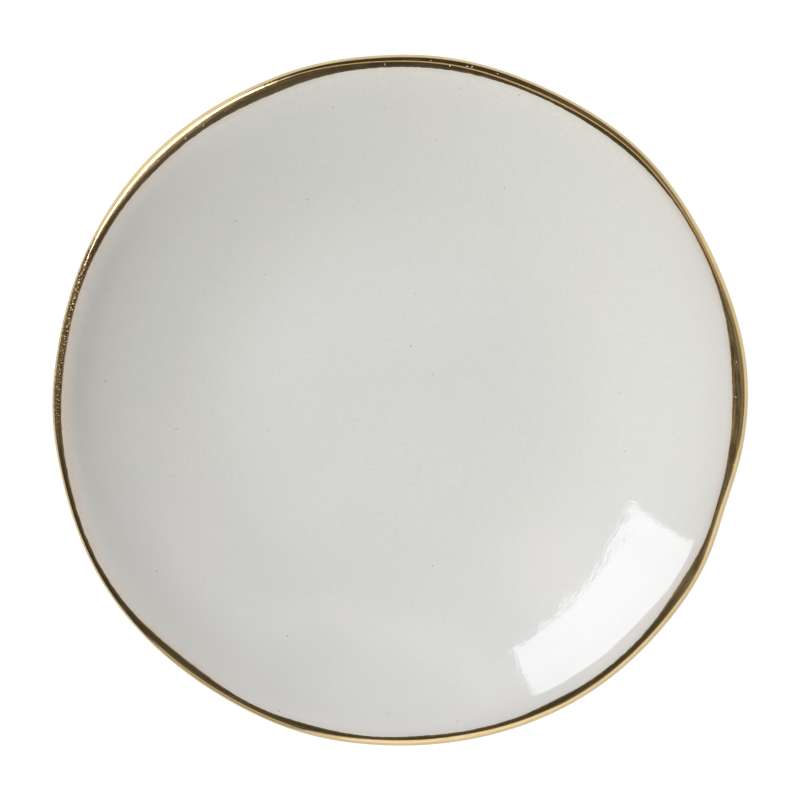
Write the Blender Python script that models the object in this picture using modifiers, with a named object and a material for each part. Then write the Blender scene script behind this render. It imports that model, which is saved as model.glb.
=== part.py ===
"""Saucer: a hand-shaped coupe dish of fired clay on a bare foot ring, with a
glaze coat, a separate island of base glaze inside the foot ring, and a metal
lustre band over the lip.  Metres, +Z up, origin on the table under the middle
of the rim's outline."""

import math

import bmesh
import bpy

MM = 0.001

# ---------------------------------------------------------------- dimensions
# All in millimetres and degrees.
RIM_RADIUS = 74.54          # circle under the rim's swells and dents
NOSE_RADIUS = 1.85          # round nose of the lip; its crown lies this far in
HEIGHT_WELL = 6.8           # flat bottom of the well above the table
WELL_FLAT_RADIUS = 24.0     # the well is level out to here
WALL_AT_FOOT = 4.6          # thickness of the dish above the foot ring

# Slope of the upper face (degrees from level) at fractions of the rim radius:
# a level well, a wall that steepens, then a broad soft shoulder to the crown.
STEEPEST = 21.0
SLOPE_KNOTS = ((0.322, 0.0), (0.40, 1.5), (0.45, 3.2), (0.50, 5.5), (0.55, 8.5),
               (0.60, 12.0), (0.65, 15.3), (0.70, 18.0), (0.75, 19.5), (0.80, 20.5),
               (0.87, STEEPEST), (0.92, 20.6), (0.936, 19.0), (0.955, 11.0),
               (0.9752, 0.0))
STEEPEST_RADIUS = 0.87 * RIM_RADIUS
CROWN_RADIUS = RIM_RADIUS - NOSE_RADIUS
SHOULDER_RADII = (68.4, 69.5, 70.2, 70.9, 71.5)     # close rings on the shoulder

FOOT_OUTER_RADIUS = 41.0
FOOT_INNER_RADIUS = 36.4
FOOT_RECESS = 2.0           # glazed base above the table, inside the foot ring
FOOT_ROUNDING = 0.6
GLAZE_LINE = 3.4            # lower edge of the outside glaze above the table

GLAZE = 0.80                # thickness of the glaze coat
SEAM = 0.25                 # clearance between body, glaze and lustre
LUSTRE = 0.25               # thickness of the lustre band
BARE_CLAY = 0.35            # the bare clay lies this far back from the glaze face
BAND_INNER = 2.35           # lustre band seen from above, inward from the edge
BAND_OUTER = -40.0          # its lower edge, as an angle round the nose

# Swells (+) and dents (-) of the hand-shaped outline seen from above:
# azimuth from +X towards +Y, height, and half width of each.
OUTLINE_LOBES = ((4, 1.00, 15), (46, 0.65, 13), (81, 0.40, 11), (105, 0.30, 9),
                 (136, 0.80, 23), (182, 0.45, 9), (213, 0.80, 18),
                 (254, 0.35, 10), (304, 0.95, 23), (329, 0.40, 10),
                 (342, -0.55, 7))
WARP_START = 44.0           # inside this radius the dish stays round and level
RIM_RISE = 0.25             # gentle two-lobed rise and fall of the rim
RIM_RISE_AZIMUTH = 60.0

STEPS = 72                  # divisions round the dish

# ---------------------------------------------------------------- clean start
for old in list(bpy.data.objects):
    bpy.data.objects.remove(old, do_unlink=True)


def smooth(t):
    t = min(1.0, max(0.0, t))
    return t * t * (3.0 - 2.0 * t)


# ---------------------------------------------------------------- the outline
def outline_swell(azimuth):
    """Distance of the rim from its circle at an azimuth in degrees."""
    total = 0.0
    for centre, height, width in OUTLINE_LOBES:
        away = (azimuth - centre + 180.0) % 360.0 - 180.0
        total += height * math.exp(-(away / width) ** 2)
    return total


def outline_centre():
    """Middle of the outline's bounding rectangle."""
    xs, ys = [], []
    for k in range(STEPS):
        azimuth = 360.0 * k / STEPS
        r = RIM_RADIUS + outline_swell(azimuth)
        xs.append(r * math.cos(math.radians(azimuth)))
        ys.append(r * math.sin(math.radians(azimuth)))
    return (max(xs) + min(xs)) / 2.0, (max(ys) + min(ys)) / 2.0


CENTRE_X, CENTRE_Y = outline_centre()


def hand_shape(x, y, z):
    """Carries a point of the true turned dish to the hand-shaped one."""
    r = math.hypot(x, y)
    if r < WARP_START:
        return x, y, z
    azimuth = math.degrees(math.atan2(y, x))
    share = smooth((r - WARP_START) / (RIM_RADIUS - WARP_START))
    grow = 1.0 + share * outline_swell(azimuth) / r
    rise = RIM_RISE * math.cos(math.radians(2.0 * (azimuth - RIM_RISE_AZIMUTH)))
    return (x * grow - share * CENTRE_X, y * grow - share * CENTRE_Y,
            z + share * share * rise)


# ---------------------------------------------------------------- the profile
def slope_at(radius):
    """Slope of the upper face in degrees, linear between the knots."""
    u = radius / RIM_RADIUS
    knots = SLOPE_KNOTS
    if u <= knots[0][0]:
        return 0.0
    for (u0, s0), (u1, s1) in zip(knots, knots[1:]):
        if u <= u1:
            return s0 + (s1 - s0) * (u - u0) / (u1 - u0)
    return knots[-1][1]


def wall_height(radius):
    """Height of the upper face at a radius, by summing its slope."""
    count = 200
    step = (radius - WELL_FLAT_RADIUS) / count
    z = HEIGHT_WELL
    for k in range(count):
        z += step * math.tan(math.radians(slope_at(WELL_FLAT_RADIUS + (k + 0.5) * step)))
    return z


CROWN_HEIGHT = wall_height(CROWN_RADIUS)
NOSE_HEIGHT = CROWN_HEIGHT - NOSE_RADIUS            # centre of the nose's circle


def guide(radius):
    """Slope and height of the surface that the outside runs parallel to: the
    upper face, carried on straight past its steepest ring."""
    if radius <= STEEPEST_RADIUS:
        return slope_at(radius), wall_height(radius)
    rise = (radius - STEEPEST_RADIUS) * math.tan(math.radians(STEEPEST))
    return STEEPEST, wall_height(STEEPEST_RADIUS) + rise


# The outside meets the nose tangentially, which settles its thickness there.
SHOULDER_DROP = guide(CROWN_RADIUS)[1] - CROWN_HEIGHT
WALL_AT_LIP = NOSE_RADIUS + (SHOULDER_DROP + NOSE_RADIUS) * math.cos(math.radians(STEEPEST))
NOSE_END = STEEPEST - 90.0                          # arc joins the outside
OUTSIDE_START = CROWN_RADIUS - (WALL_AT_LIP - NOSE_RADIUS) * math.sin(math.radians(STEEPEST))


def thickness_at(radius):
    """Thickness of the dish, thinning from the foot ring to the lip."""
    t = (radius - FOOT_OUTER_RADIUS) / (68.0 - FOOT_OUTER_RADIUS)
    return WALL_AT_FOOT + (WALL_AT_LIP - WALL_AT_FOOT) * smooth(t)


def upper_face(depth, radii):
    """Upper face at these radii, sunk by depth along its normal."""
    points = []
    for radius in radii:
        tilt = math.radians(slope_at(radius))
        points.append((radius + depth * math.sin(tilt), wall_height(radius) - depth * math.cos(tilt)))
    return points


def wall_radii(count):
    """Radii from the edge of the level well to the foot of the shoulder."""
    return [WELL_FLAT_RADIUS + (66.8 - WELL_FLAT_RADIUS) * (k / count) ** 0.95 for k in range(count + 1)]


def nose(depth, start, end, count):
    """Part of the round nose, sunk by depth; angles from level outward, in
    degrees, 90 at the crown."""
    rho = NOSE_RADIUS - depth
    points = []
    for k in range(count + 1):
        a = math.radians(start + (end - start) * k / count)
        points.append((CROWN_RADIUS + rho * math.cos(a), NOSE_HEIGHT + rho * math.sin(a)))
    return points


def outer_wall(depth, count, end_radius):
    """Outer face, sunk by depth, from the lip down to a radius near the foot."""
    points = []
    for k in range(count + 1):
        radius = OUTSIDE_START + (end_radius - OUTSIDE_START) * (k / count) ** 1.1
        slope, height = guide(radius)
        tilt = math.radians(slope)
        away = thickness_at(radius) - depth
        points.append((radius + away * math.sin(tilt), height - away * math.cos(tilt)))
    return points


def outer_radius_at_height(height):
    """Guide radius whose outer-face point lies at this height."""
    low, high = FOOT_INNER_RADIUS, OUTSIDE_START
    for _ in range(40):
        mid = 0.5 * (low + high)
        slope, top = guide(mid)
        if top - thickness_at(mid) * math.cos(math.radians(slope)) < height:
            low = mid
        else:
            high = mid
    return 0.5 * (low + high)


GLAZE_FOOT_RADIUS = outer_radius_at_height(GLAZE_LINE)
BAND_START_RADIUS = RIM_RADIUS - BAND_INNER         # inner edge, on the shoulder


# ---------------------------------------------------------------- modelling
def turned(name, profile, collection):
    """Turns a profile (mm) about Z with a Screw modifier, then carries every
    point to the hand-shaped dish."""
    points = [(r * MM, 0.0, z * MM) for r, z in profile]
    edges = [(k, k + 1) for k in range(len(points) - 1)]
    closed = profile[0][0] > 0.0
    if closed:
        edges.append((len(points) - 1, 0))
    mesh = bpy.data.meshes.new(name + "_profile")
    mesh.from_pydata(points, edges, [])
    obj = bpy.data.objects.new(name, mesh)
    collection.objects.link(obj)
    screw = obj.modifiers.new("turn", "SCREW")
    screw.axis = "Z"
    screw.angle = 2.0 * math.pi
    screw.steps = STEPS
    screw.render_steps = STEPS
    screw.use_merge_vertices = True
    screw.merge_threshold = 0.00001
    screw.use_smooth_shade = True
    screw.use_normal_calculate = False

    bpy.context.view_layer.update()
    graph = bpy.context.evaluated_depsgraph_get()
    shape = bpy.data.meshes.new_from_object(obj.evaluated_get(graph))
    obj.modifiers.clear()

    bm = bmesh.new()
    bm.from_mesh(shape)
    bmesh.ops.remove_doubles(bm, verts=bm.verts, dist=0.000005)
    for vert in bm.verts:
        x, y, z = hand_shape(vert.co.x / MM, vert.co.y / MM, vert.co.z / MM)
        vert.co = (x * MM, y * MM, z * MM)
    bm.to_mesh(shape)
    bm.free()
    shape.name = name
    obj.data = shape
    bpy.data.meshes.remove(mesh)
    shape.shade_smooth()
    shape.set_sharp_from_angle(angle=math.radians(40.0))
    return obj


def finish(obj, colour, roughness, metallic):
    material = bpy.data.materials.new(obj.name + "_finish")
    material.use_nodes = True
    shader = material.node_tree.nodes["Principled BSDF"]
    shader.inputs["Base Color"].default_value = (*colour, 1.0)
    shader.inputs["Roughness"].default_value = roughness
    shader.inputs["Metallic"].default_value = metallic
    obj.data.materials.clear()
    obj.data.materials.append(material)


saucer = bpy.data.collections.new("saucer")
bpy.context.scene.collection.children.link(saucer)
stand = bpy.data.objects.new("saucer_origin", None)
saucer.objects.link(stand)

under_glaze = GLAZE + SEAM
under_band = LUSTRE + SEAM

# Fired clay body: under the glaze from the well's middle over the lip, down to
# the glaze line, then bare over the foot ring and under the base glaze.
ledge_r = GLAZE_FOOT_RADIUS - 0.35
bare_top = outer_wall(BARE_CLAY, 1, ledge_r - 0.15)[-1]
body_profile = [(0.0, HEIGHT_WELL - under_glaze)]
body_profile += upper_face(under_glaze, wall_radii(10) + [68.8, 70.0, 71.2])
body_profile += nose(under_glaze, 90.0, NOSE_END, 6)
body_profile += outer_wall(under_glaze, 7, ledge_r)[1:]
body_profile += [
    bare_top,
    (FOOT_OUTER_RADIUS - BARE_CLAY, FOOT_ROUNDING + 0.9),
    (FOOT_OUTER_RADIUS - BARE_CLAY, FOOT_ROUNDING),
    (FOOT_OUTER_RADIUS - BARE_CLAY - 0.3 * FOOT_ROUNDING, 0.3 * FOOT_ROUNDING),
    (FOOT_OUTER_RADIUS - BARE_CLAY - FOOT_ROUNDING, 0.0),
    (FOOT_INNER_RADIUS + FOOT_ROUNDING, 0.0),
    (FOOT_INNER_RADIUS + 0.3 * FOOT_ROUNDING, 0.3 * FOOT_ROUNDING),
    (FOOT_INNER_RADIUS, FOOT_ROUNDING),
    (FOOT_INNER_RADIUS - 0.25, FOOT_RECESS + 0.1),
    (FOOT_INNER_RADIUS - 0.6, FOOT_RECESS + GLAZE + SEAM),
    (0.0, FOOT_RECESS + GLAZE + SEAM),
]
stoneware_body = turned("stoneware_body", body_profile, saucer)
finish(stoneware_body, (0.46, 0.36, 0.26), 0.85, 0.0)

# Glaze coat: one skin over the well, the lip and the outside; it is thinner
# under the lustre band by the band's thickness and its seam.
glaze_profile = [(0.0, HEIGHT_WELL)]
glaze_profile += upper_face(0.0, wall_radii(12) + list(SHOULDER_RADII) + [BAND_START_RADIUS - 0.28])
glaze_profile += upper_face(under_band, [BAND_START_RADIUS - 0.20])
glaze_profile += nose(under_band, 90.0, BAND_OUTER - 6.0, 6)
glaze_profile += nose(0.0, BAND_OUTER - 9.0, NOSE_END, 2)
glaze_profile += outer_wall(0.0, 9, GLAZE_FOOT_RADIUS)[1:]
glaze_profile += outer_wall(GLAZE * 0.5, 1, GLAZE_FOOT_RADIUS - 0.2)[-1:]
glaze_profile += outer_wall(GLAZE, 7, GLAZE_FOOT_RADIUS)[:0:-1]
glaze_profile += nose(GLAZE, NOSE_END, 90.0, 6)
glaze_profile += upper_face(GLAZE, [71.2, 70.0, 68.8] + wall_radii(10)[::-1])
glaze_profile += [(0.0, HEIGHT_WELL - GLAZE)]
glaze_coat = turned("glaze_coat", glaze_profile, saucer)
finish(glaze_coat, (0.68, 0.68, 0.64), 0.10, 0.0)

# Base glaze: a thin island inside the foot ring with a rounded edge.
base_profile = [
    (0.0, FOOT_RECESS + GLAZE),
    (FOOT_INNER_RADIUS - 1.25, FOOT_RECESS + GLAZE),
    (FOOT_INNER_RADIUS - 0.85, FOOT_RECESS + GLAZE * 0.6),
    (FOOT_INNER_RADIUS - 0.85, FOOT_RECESS + GLAZE * 0.3),
    (FOOT_INNER_RADIUS - 1.25, FOOT_RECESS),
    (0.0, FOOT_RECESS),
]
base_glaze = turned("base_glaze", base_profile, saucer)
finish(base_glaze, (0.68, 0.68, 0.64), 0.12, 0.0)

# Lustre band: a closed thin ring that wraps the lip.
band_profile = upper_face(0.0, [BAND_START_RADIUS])
band_profile += nose(0.0, 90.0, BAND_OUTER, 9)
band_profile += nose(LUSTRE, BAND_OUTER, 90.0, 8)
band_profile += upper_face(LUSTRE, [BAND_START_RADIUS])
gold_rim = turned("gold_rim", band_profile, saucer)
finish(gold_rim, (0.80, 0.58, 0.26), 0.18, 1.0)

for part in (stoneware_body, glaze_coat, base_glaze, gold_rim):
    part.parent = stand
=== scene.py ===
import math
import random

import bpy
import numpy as np
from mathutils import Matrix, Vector, noise
from mathutils.bvhtree import BVHTree


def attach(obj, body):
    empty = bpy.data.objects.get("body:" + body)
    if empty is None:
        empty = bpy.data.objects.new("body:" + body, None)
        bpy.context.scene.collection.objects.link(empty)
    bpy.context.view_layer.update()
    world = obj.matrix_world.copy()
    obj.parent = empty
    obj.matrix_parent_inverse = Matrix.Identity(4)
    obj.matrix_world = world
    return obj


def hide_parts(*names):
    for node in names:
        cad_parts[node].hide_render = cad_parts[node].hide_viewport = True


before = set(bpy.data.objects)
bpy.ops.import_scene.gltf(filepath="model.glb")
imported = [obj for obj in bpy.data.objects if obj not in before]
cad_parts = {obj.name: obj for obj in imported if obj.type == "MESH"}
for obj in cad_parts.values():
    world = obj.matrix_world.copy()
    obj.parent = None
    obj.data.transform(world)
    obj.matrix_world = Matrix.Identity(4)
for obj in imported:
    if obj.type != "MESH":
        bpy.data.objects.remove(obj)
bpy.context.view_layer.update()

# ------------------------------------------------------------------ dimensions
# Millimetres and degrees, as in the solids.
RIM_RADIUS = 74.54
NOSE_RADIUS = 1.85
HEIGHT_WELL = 6.8
WELL_FLAT_RADIUS = 24.0
WALL_AT_FOOT = 4.6
STEEPEST = 21.0
SLOPE_KNOTS = ((0.322, 0.0), (0.40, 1.5), (0.45, 3.2), (0.50, 5.5), (0.55, 8.5),
               (0.60, 12.0), (0.65, 15.3), (0.70, 18.0), (0.75, 19.5), (0.80, 20.5),
               (0.87, STEEPEST), (0.92, 20.6), (0.936, 19.0), (0.955, 11.0),
               (0.9752, 0.0))
STEEPEST_RADIUS = 0.87 * RIM_RADIUS
CROWN_RADIUS = RIM_RADIUS - NOSE_RADIUS
FOOT_OUTER_RADIUS = 41.0
FOOT_INNER_RADIUS = 36.4
FOOT_RECESS = 2.0
FOOT_ROUNDING = 0.6
GLAZE_LINE = 3.4
GLAZE = 0.80
BARE_CLAY = 0.35
OUTLINE_LOBES = ((4, 1.00, 15), (46, 0.65, 13), (81, 0.40, 11), (105, 0.30, 9),
                 (136, 0.80, 23), (182, 0.45, 9), (213, 0.80, 18),
                 (254, 0.35, 10), (304, 0.95, 23), (329, 0.40, 10),
                 (342, -0.55, 7))
WARP_START = 44.0
RIM_RISE = 0.25
RIM_RISE_AZIMUTH = 60.0

# The lustre band's inner edge, inward of the outline: a strip of even width
# and the places where the brush swung inward (azimuth, reach, half width).
BAND_WIDTH = 1.54
BAND_SWINGS = ((2, 1.95, 15), (52, 0.90, 15), (81, 1.20, 18), (114, 1.80, 18),
               (135, 0.75, 10), (148, 0.70, 13), (177, 0.55, 14), (201, -0.11, 14), (230, 0.88, 11),
               (255, 0.60, 8), (274, 0.25, 7), (297, 0.25, 4), (303, 0.75, 31),
               (327, 0.95, 8), (350, 0.15, 4))

MM = 0.001


# ------------------------------------------------------------------ the surface
def lobes(azimuth, table):
    azimuth = np.asarray(azimuth, float)
    total = np.zeros_like(azimuth)
    for centre, height, width in table:
        away = (azimuth - centre + 180.0) % 360.0 - 180.0
        total = total + height * np.exp(-(away / width) ** 2)
    return total


def smooth(t):
    t = np.clip(t, 0.0, 1.0)
    return t * t * (3.0 - 2.0 * t)


_steps = np.arange(72) * 5.0
_r = RIM_RADIUS + lobes(_steps, OUTLINE_LOBES)
_x, _y = _r * np.cos(np.radians(_steps)), _r * np.sin(np.radians(_steps))
CENTRE = ((_x.max() + _x.min()) / 2.0, (_y.max() + _y.min()) / 2.0)

_table_r = np.arange(0.0, 80.0, 0.02)
_knots = np.array(SLOPE_KNOTS)


def slope_at(radius):
    return np.interp(np.asarray(radius, float) / RIM_RADIUS, _knots[:, 0], _knots[:, 1])


_grade = np.tan(np.radians(slope_at(_table_r + 0.01)))
_table_z = HEIGHT_WELL + np.concatenate([[0.0], np.cumsum(_grade[:-1] * 0.02)])


def wall_height(radius):
    return np.interp(radius, _table_r, _table_z)


CROWN_HEIGHT = float(np.interp(CROWN_RADIUS, _table_r, _table_z))
STEEPEST_HEIGHT = float(np.interp(STEEPEST_RADIUS, _table_r, _table_z))
GRADE = math.tan(math.radians(STEEPEST))
SHOULDER_DROP = STEEPEST_HEIGHT + (CROWN_RADIUS - STEEPEST_RADIUS) * GRADE - CROWN_HEIGHT
WALL_AT_LIP = NOSE_RADIUS + (SHOULDER_DROP + NOSE_RADIUS) * math.cos(math.radians(STEEPEST))
OUTSIDE_START = CROWN_RADIUS - (WALL_AT_LIP - NOSE_RADIUS) * math.sin(math.radians(STEEPEST))


def wall_thickness(radius):
    t = (radius - FOOT_OUTER_RADIUS) / (68.0 - FOOT_OUTER_RADIUS)
    return WALL_AT_FOOT + (WALL_AT_LIP - WALL_AT_FOOT) * smooth(t)


def hand_shape(r, azimuth, z):
    """True turned point (radius, azimuth, height) to the hand-shaped dish."""
    share = smooth((r - WARP_START) / (RIM_RADIUS - WARP_START))
    reach = r + share * lobes(azimuth, OUTLINE_LOBES)
    rise = RIM_RISE * np.cos(np.radians(2.0 * (azimuth - RIM_RISE_AZIMUTH)))
    a = np.radians(azimuth)
    return np.stack([reach * np.cos(a) - share * CENTRE[0],
                     reach * np.sin(a) - share * CENTRE[1],
                     z + share * share * rise], axis=-1)


# The dish was finished by hand.  How far the lip's crown lies inward of the
# edge changes round the rim (azimuth, change, half width), and so does the ring
# where the wall begins to roll over into the lip.
CROWN_LOBES = ((28, -0.38, 11), (62, 0.62, 15), (84, 0.18, 10), (104, -0.08, 8),
               (121, -0.18, 7), (141, -0.05, 7), (151, -0.32, 8), (154, -0.25, 6), (168, -0.15, 14),
               (205, -0.28, 22), (238, -0.10, 9), (276, 0.06, 12), (312, -0.12, 14),
               (338, 0.14, 7), (355, -0.05, 8))
# The lip's roundness changes too, as a share of the nose's height.
NOSE_LOBES = ((120, -0.10, 6), (130, 0.30, 6), (140, -0.10, 6), (151, -0.30, 8))
SHOULDER_INSET = 4.77
SHOULDER_LOBES = ((28, -0.30, 14), (75, 0.30, 22), (150, 0.25, 25), (205, -0.30, 24),
                  (262, 0.20, 18), (298, -0.35, 4), (308, -0.20, 4), (325, -0.50, 5), (335, -0.85, 9))
# Close under the rim the wall stands a little steeper at the lower right and
# the left, and less steep at the far side.
WALL_LOBES = ((316, 1.15, 34), (163, 1.5, 24), (88, -1.9, 34))
NOSE_END = 90.0 - STEEPEST


def crown_inset(azimuth):
    return NOSE_RADIUS + lobes(azimuth, CROWN_LOBES)


def shoulder_inset(azimuth):
    return SHOULDER_INSET + lobes(azimuth, SHOULDER_LOBES)


class Upper:
    """Upper face of the dish at a set of azimuths: its slope is laid down from
    the well to the crown and summed, then the round cheek is added."""
    STEP = 0.02

    def __init__(self, azimuth):
        self.azimuth = np.asarray(azimuth, float)
        self.crown = crown_inset(self.azimuth)
        self.nose = NOSE_RADIUS * (1.0 + lobes(self.azimuth, NOSE_LOBES))
        shoulder = shoulder_inset(self.azimuth)
        self.r = np.arange(WELL_FLAT_RADIUS, RIM_RADIUS + self.STEP, self.STEP)
        mid = self.r + 0.5 * self.STEP
        wall = slope_at(np.minimum(mid, STEEPEST_RADIUS))
        x = (RIM_RADIUS - mid)[None, :]
        c, s = self.crown[:, None], shoulder[:, None]
        half = c + 0.515 * (s - c)
        slope = np.where(x > s + 1.2, 20.6 + 0.4 * np.clip((x - s - 1.2) / 3.7, 0, 1),
                np.where(x > s, 19.0 + 1.6 * (x - s) / 1.2,
                np.where(x > half, 11.0 + 8.0 * (x - half) / (s - half),
                         11.0 * np.clip((x - c) / (half - c), 0, 1))))
        slope = np.where(mid[None, :] < STEEPEST_RADIUS, wall[None, :], slope)
        extra = 0.9 * smooth((mid[None, :] / RIM_RADIUS - 0.78) / 0.06)
        extra = extra + lobes(self.azimuth, WALL_LOBES)[:, None] * smooth((mid[None, :] / RIM_RADIUS - 0.77) / 0.09)
        slope = slope + extra * np.clip((x - s + 0.3) / 1.2, 0.0, 1.0)
        # ease the corners of the slope over about half a millimetre
        for width in (25, 17):
            pad = np.pad(slope, ((0, 0), (width, width)), mode="edge")
            total = np.cumsum(pad, axis=1)
            slope = (total[:, 2 * width:] - total[:, :-2 * width])[:, :slope.shape[1]] / (2 * width)
        grade = np.tan(np.radians(slope)) * self.STEP
        self.z = HEIGHT_WELL + np.concatenate([np.zeros((len(self.azimuth), 1)), np.cumsum(grade, axis=1)[:, :-1]], axis=1)
        self.top = np.array([np.interp(RIM_RADIUS - c0, self.r, row) for c0, row in zip(self.crown, self.z)])

    def height(self, radius):
        """Heights at one radius per azimuth."""
        radius = radius + 0.0 * self.azimuth
        wall = np.array([np.interp(q, self.r, row) for q, row in zip(radius, self.z)])
        out = np.clip((radius - (RIM_RADIUS - self.crown)) / self.crown, 0.0, 1.0)
        cheek = self.top - self.nose * (1.0 - np.sqrt(np.maximum(0.0, 1.0 - out ** 2)))
        return np.where(out > 0.0, cheek, wall)

    def under_nose(self, t):
        """Round under side of the nose: t 0 at the edge, 1 at the outside."""
        a = np.radians(NOSE_END * t) + 0.0 * self.azimuth
        return (CROWN_RADIUS + NOSE_RADIUS * np.cos(a),
                self.top - self.nose - NOSE_RADIUS * np.sin(a))

    def outside(self, radius, depth=0.0):
        """Outer face at one guide radius per azimuth, sunk by depth."""
        r, z = outer_point(radius + 0.0 * self.azimuth, depth)
        rise = self.top - self.nose + NOSE_RADIUS - CROWN_HEIGHT
        return r, z + rise * smooth((r - 58.0) / 14.0)


def outer_point(radius, depth=0.0):
    radius = np.asarray(radius, float)
    past = radius > STEEPEST_RADIUS
    slope = np.where(past, STEEPEST, slope_at(radius))
    height = np.where(past, STEEPEST_HEIGHT + (radius - STEEPEST_RADIUS) * GRADE, wall_height(radius))
    tilt = np.radians(slope)
    away = wall_thickness(radius) - depth
    return radius + away * np.sin(tilt), height - away * np.cos(tilt)


# ------------------------------------------------------------------ mesh helpers
def ring_grid_normals(grid):
    """Normals of a closed-in-azimuth grid of points, rings by azimuths."""
    along = np.gradient(grid, axis=0)
    round_ = np.roll(grid, -1, axis=1) - np.roll(grid, 1, axis=1)
    n = np.cross(along, round_)
    return n / np.maximum(1e-12, np.linalg.norm(n, axis=2, keepdims=True))


def ring_mesh(name, rings, start_pole=None, end_pole=None, loop=False):
    """A mesh through rings of points; each end can close on a pole, or the
    last ring can run back to the first."""
    rings = np.asarray(rings)
    count, around = rings.shape[0], rings.shape[1]
    verts = rings.reshape(-1, 3)
    idx = np.arange(count * around).reshape(count, around)
    nxt = np.roll(idx, -1, axis=1)
    rows = [(k, k + 1) for k in range(count - 1)]
    if loop:
        rows.append((count - 1, 0))
    faces = []
    for a, b in rows:
        faces.append(np.stack([idx[a], idx[b], nxt[b], nxt[a]], axis=1))
    faces = np.concatenate(faces).tolist()
    extra = []
    if start_pole is not None:
        p = len(verts) + len(extra)
        extra.append(start_pole)
        faces += [[p, int(idx[0][k]), int(nxt[0][k])] for k in range(around)]
    if end_pole is not None:
        p = len(verts) + len(extra)
        extra.append(end_pole)
        faces += [[p, int(nxt[-1][k]), int(idx[-1][k])] for k in range(around)]
    if extra:
        verts = np.concatenate([verts, np.array(extra)])
    mesh = bpy.data.meshes.new(name)
    mesh.from_pydata((verts * MM).tolist(), [], faces)
    mesh.validate()
    mesh.shade_smooth()
    mesh.set_sharp_from_angle(angle=math.radians(38.0))
    obj = bpy.data.objects.new(name, mesh)
    bpy.context.scene.collection.objects.link(obj)
    return obj


def waviness(grid, seed, size, amount):
    """Smooth noise (mm) at each point of a grid of points (mm)."""
    flat = grid.reshape(-1, 3) / size
    shift = Vector((seed * 17.3, seed * 5.1, seed * 9.7))
    values = np.array([noise.noise(Vector(p) + shift) for p in flat.tolist()])
    return (values * amount).reshape(grid.shape[:-1])


class Rings:
    """Rings of points (mm) gathered from the middle outward."""

    def __init__(self, azimuth):
        self.azimuth = azimuth
        self.rows = []

    def add(self, radius, height):
        zero = 0.0 * self.azimuth
        self.rows.append(np.stack([radius + zero, height + zero], axis=1))

    def shaped(self):
        flat = np.array(self.rows)
        return hand_shape(flat[:, :, 0], self.azimuth[None, :] + 0.0 * flat[:, :, 0], flat[:, :, 1])


def undulation(grid):
    """The fired surface is never quite true: long, shallow swells (mm)."""
    return -waviness(grid, 3, 30.0, 0.045) - waviness(grid, 5, 12.0, 0.012) - waviness(grid, 8, 5.5, 0.0026)


# ------------------------------------------------------------------ glaze coat
AROUND = 360
az = np.arange(AROUND) * 360.0 / AROUND
upper = Upper(az)
coat = Rings(az)
for r in np.concatenate([np.linspace(1.5, 22.0, 9), np.linspace(24.0, 44.0, 15)]):
    coat.add(r, upper.height(r) if r > WELL_FLAT_RADIUS else HEIGHT_WELL)
for k in range(1, 45):
    r = 44.0 + (RIM_RADIUS - shoulder_inset(az) - 44.0) * k / 44.0
    coat.add(r, upper.height(r))
for k in range(1, 25):
    inward = shoulder_inset(az) + (crown_inset(az) - shoulder_inset(az)) * k / 24.0
    coat.add(RIM_RADIUS - inward, upper.height(RIM_RADIUS - inward))
for k in range(1, 21):
    r = RIM_RADIUS - crown_inset(az) * (1.0 - math.sin(math.radians(90.0 * k / 20.0)))
    coat.add(r, upper.height(r))
for k in range(1, 15):
    coat.add(*upper.under_nose(k / 14.0))
roll = 0.22 * np.sin(np.radians(3 * az + 40)) + 0.16 * np.sin(np.radians(7 * az + 110)) + 0.08 * np.sin(np.radians(17 * az))
for k in range(1, 41):
    coat.add(*upper.outside(OUTSIDE_START + (42.9 + 0.8 * roll - OUTSIDE_START) * k / 40.0))
face_rings = len(coat.rows)
# its rolled lower edge, drawn to a bead above the bare foot
r_end, z_end = coat.rows[-1][:, 0], coat.rows[-1][:, 1]
for deg in (15, 30, 45, 60, 75, 90, 110):
    s, c = math.sin(math.radians(deg)), math.cos(math.radians(deg))
    coat.add(r_end - 0.10 - 0.40 * s, z_end + 0.40 * (1 - c))
# the hidden inner face, against the clay
for k in range(1, 13):
    coat.add(*upper.outside(43.2 + (OUTSIDE_START - 43.2) * k / 12.0, GLAZE))
coat.add(RIM_RADIUS - 0.85, upper.top - NOSE_RADIUS)
coat.add(RIM_RADIUS - upper.crown, upper.top - 0.85)
for k in range(0, 16):
    r = RIM_RADIUS - shoulder_inset(az) + (24.0 - RIM_RADIUS + shoulder_inset(az)) * k / 15.0
    tilt = np.radians(slope_at(np.minimum(r, STEEPEST_RADIUS)))
    coat.add(r + GLAZE * np.sin(tilt), upper.height(r) - GLAZE * np.cos(tilt))
grid = coat.shaped()
normals = ring_grid_normals(grid)
share = np.zeros(len(coat.rows))
share[:face_rings] = 1.0
share[face_rings - 6:face_rings] = np.linspace(1.0, 0.3, 6)
reach = np.hypot(grid[:, :, 0], grid[:, :, 1])
grid = grid + normals * (undulation(grid) * share[:, None] * smooth((reach - 2.0) / 22.0))[:, :, None]
glaze = ring_mesh("glaze_coat_fired", grid, start_pole=(0.0, 0.0, HEIGHT_WELL),
                  end_pole=(0.0, 0.0, HEIGHT_WELL - GLAZE))
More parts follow.
